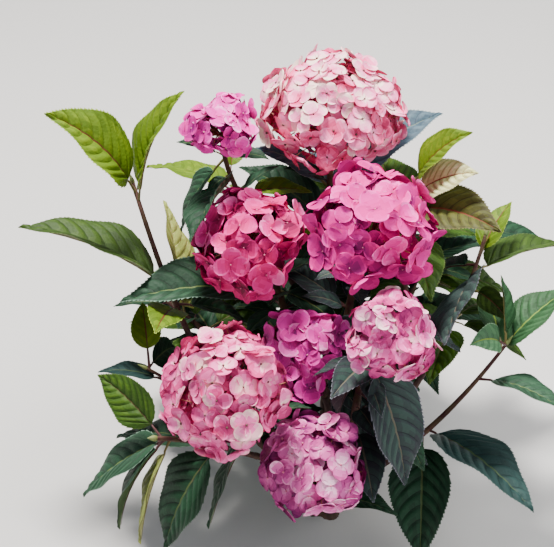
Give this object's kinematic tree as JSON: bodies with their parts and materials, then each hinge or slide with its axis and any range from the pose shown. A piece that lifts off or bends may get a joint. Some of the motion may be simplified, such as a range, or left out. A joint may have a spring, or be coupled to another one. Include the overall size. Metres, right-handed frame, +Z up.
{
  "type": "hydrangea shrub",
  "caption": "Low mophead hydrangea shrub in full bloom: woody crown, spreading canes, leafy shoots with broad toothed leaves and round pink flower heads.",
  "frame": {"origin": "middle of the flat cut under the woody crown, at ground level", "axes": "+Z up; the pictured view looks along +Y, down at about 33 degrees, with +X to the right"},
  "size_m": [0.4454, 0.3737, 0.3801],
  "materials": {
    "crown_bark": "rough grey-brown bark",
    "cane_bark": "satin red-brown bark",
    "leaf": "satin leaf, green to purple-green",
    "petals_pale": "matte petal, pale salmon pink",
    "petals_rose": "matte petal, rose pink",
    "petals_magenta": "matte petal, magenta pink",
    "petals_mauve": "matte petal, pale mauve pink"
  },
  "bodies": {
    "root": {"crown": "crown_bark", "cane_front_left": "cane_bark", "cane_front": "cane_bark", "cane_front_right": "cane_bark", "cane_centre": "cane_bark", "cane_upright": "cane_bark", "cane_left": "cane_bark", "cane_far_left": "cane_bark", "cane_far_right": "cane_bark", "cane_right": "cane_bark", "cane_back_right": "cane_bark", "cane_back": "cane_bark", "cane_back_left": "cane_bark", "cane_centre_low": "cane_bark", "cane_upper_left": "cane_bark", "cane_low_left": "cane_bark", "cane_behind_right": "cane_bark", "cane_back_low": "cane_bark", "cane_far_back_left": "cane_bark", "cane_mid_left": "cane_bark", "leaves_front_left": "leaf", "leaves_front": "leaf", "leaves_front_right": "leaf", "leaves_centre": "leaf", "leaves_upright": "leaf", "leaves_left": "leaf", "leaves_far_left": "leaf", "leaves_far_right": "leaf", "leaves_right": "leaf", "leaves_back_right": "leaf", "leaves_back": "leaf", "leaves_back_left": "leaf", "leaves_centre_low": "leaf", "leaves_upper_left": "leaf", "leaves_low_left": "leaf", "leaves_behind_right": "leaf", "leaves_back_low": "leaf", "leaves_far_back_left": "leaf", "leaves_mid_left": "leaf", "bloom_front_left": "petals_pale", "bloom_front": "petals_mauve", "bloom_front_right": "petals_pale", "bloom_centre": "petals_rose", "bloom_upright": "petals_pale", "bloom_left": "petals_rose", "bloom_back": "petals_rose", "bloom_back_left": "petals_pale", "bloom_centre_low": "petals_magenta", "bloom_upper_left": "petals_magenta", "bloom_back_low": "petals_mauve"}
  },
  "joints": []
}
